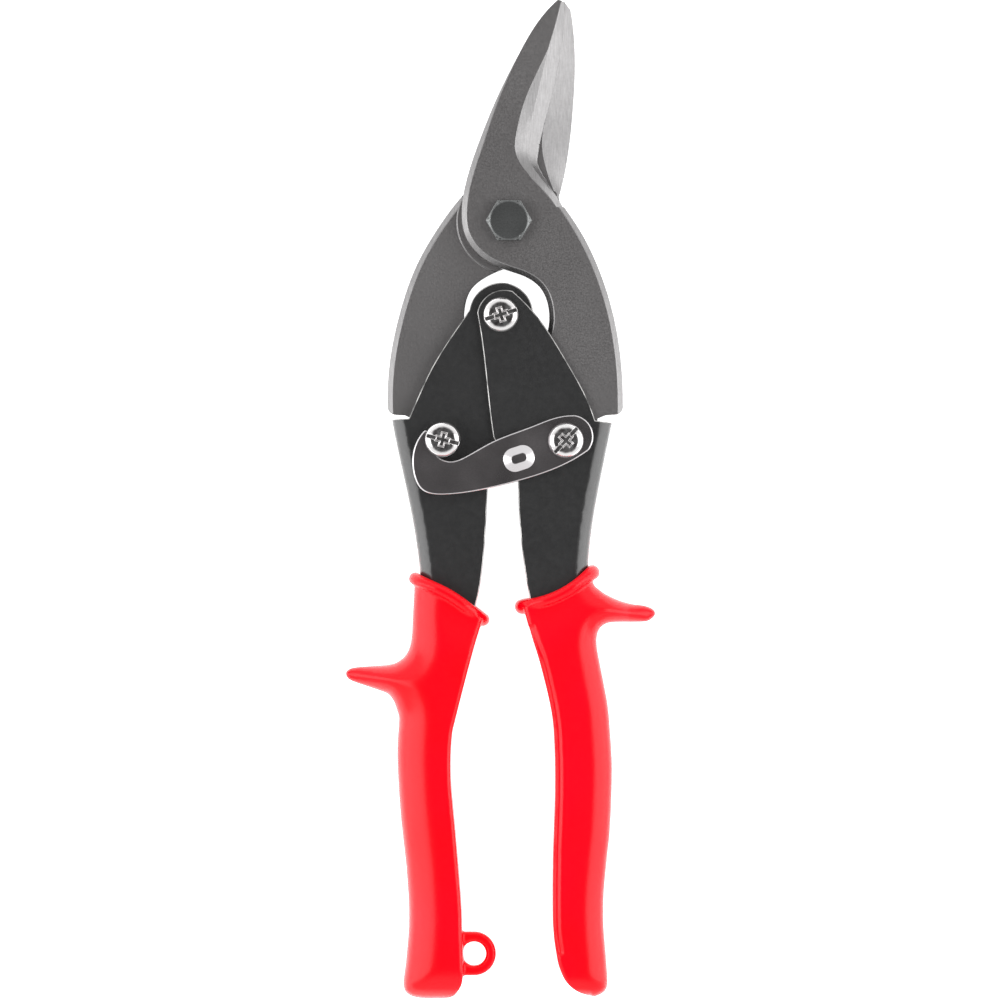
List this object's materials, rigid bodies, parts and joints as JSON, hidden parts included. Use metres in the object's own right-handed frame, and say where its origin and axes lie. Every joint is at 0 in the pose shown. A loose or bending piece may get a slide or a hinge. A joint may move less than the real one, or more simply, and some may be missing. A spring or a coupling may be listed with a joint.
{
  "type": "aviation snips",
  "caption": "Compound-action aviation snips with curved blades, folded steel handles, a hooked latch plate, moulded grips with finger spurs and a hanging ring.",
  "frame": {"origin": "centre of the overall footprint, on the bench the snips lie on", "axes": "+Y from the grips to the blade tips, +Z from the back to the front of the snips, +X to the right seen from the front"},
  "size_m": [0.0769, 0.25, 0.0202],
  "materials": {
    "jaw_steel": "satin forged steel",
    "bolt_steel": "dark blacked steel",
    "zinc": "bright zinc plate",
    "chrome": "bright chrome",
    "spring_steel": "drawn spring wire",
    "handle_paint": "black paint on folded sheet",
    "latch_steel": "dark plated steel with a bright edge",
    "grip_red": "glossy red vinyl"
  },
  "bodies": {
    "rear_jaw": {"rear_jaw": "jaw_steel", "pivot_bolt": "bolt_steel", "pivot_washer": "zinc", "pivot_nut": "bolt_steel"},
    "front_jaw": {"front_jaw": "jaw_steel"},
    "left_handle": {"left_handle": "handle_paint", "left_grip": "grip_red", "left_jaw_screw": "chrome", "left_jaw_nut": "zinc", "left_jaw_spacer": "zinc", "left_screw_collar": "zinc", "spring_left": "spring_steel"},
    "right_handle": {"right_handle": "handle_paint", "right_grip": "grip_red", "right_jaw_screw": "chrome", "right_jaw_nut": "zinc", "right_jaw_spacer": "zinc", "latch_washer": "zinc", "handle_screw": "chrome", "handle_nut": "zinc", "spring_sleeve": "zinc", "spring_right": "spring_steel"},
    "latch": {"latch": "latch_steel"}
  },
  "joints": [
    {"name": "jaw_pivot", "type": "hinge", "parent": "rear_jaw", "child": "front_jaw", "pos_m": [0.0021, 0.0695, 0.0096], "axis": [0, 0, 1], "range_deg": [0, 16]},
    {"name": "left_handle_pin", "type": "hinge", "parent": "rear_jaw", "child": "left_handle", "pos_m": [-0.0144, 0.0148, 0.0096], "axis": [0, 0, 1], "range_deg": [-7.61, 0]},
    {"name": "right_handle_pin", "type": "hinge", "parent": "front_jaw", "child": "right_handle", "pos_m": [0.0163, 0.0146, 0.0096], "axis": [0, 0, 1], "range_deg": [0, 5.65]},
    {"name": "latch_swing", "type": "hinge", "parent": "right_handle", "child": "latch", "pos_m": [0.0163, 0.0146, 0.0171], "axis": [0, 0, 1], "range_deg": [0, 56.01]}
  ],
  "couplings": [
    {"joint": "left_handle_pin", "follows": "jaw_pivot", "ratio": -0.475},
    {"joint": "right_handle_pin", "follows": "jaw_pivot", "ratio": 0.3525},
    {"joint": "latch_swing", "follows": "jaw_pivot", "ratio": 3.5}
  ]
}
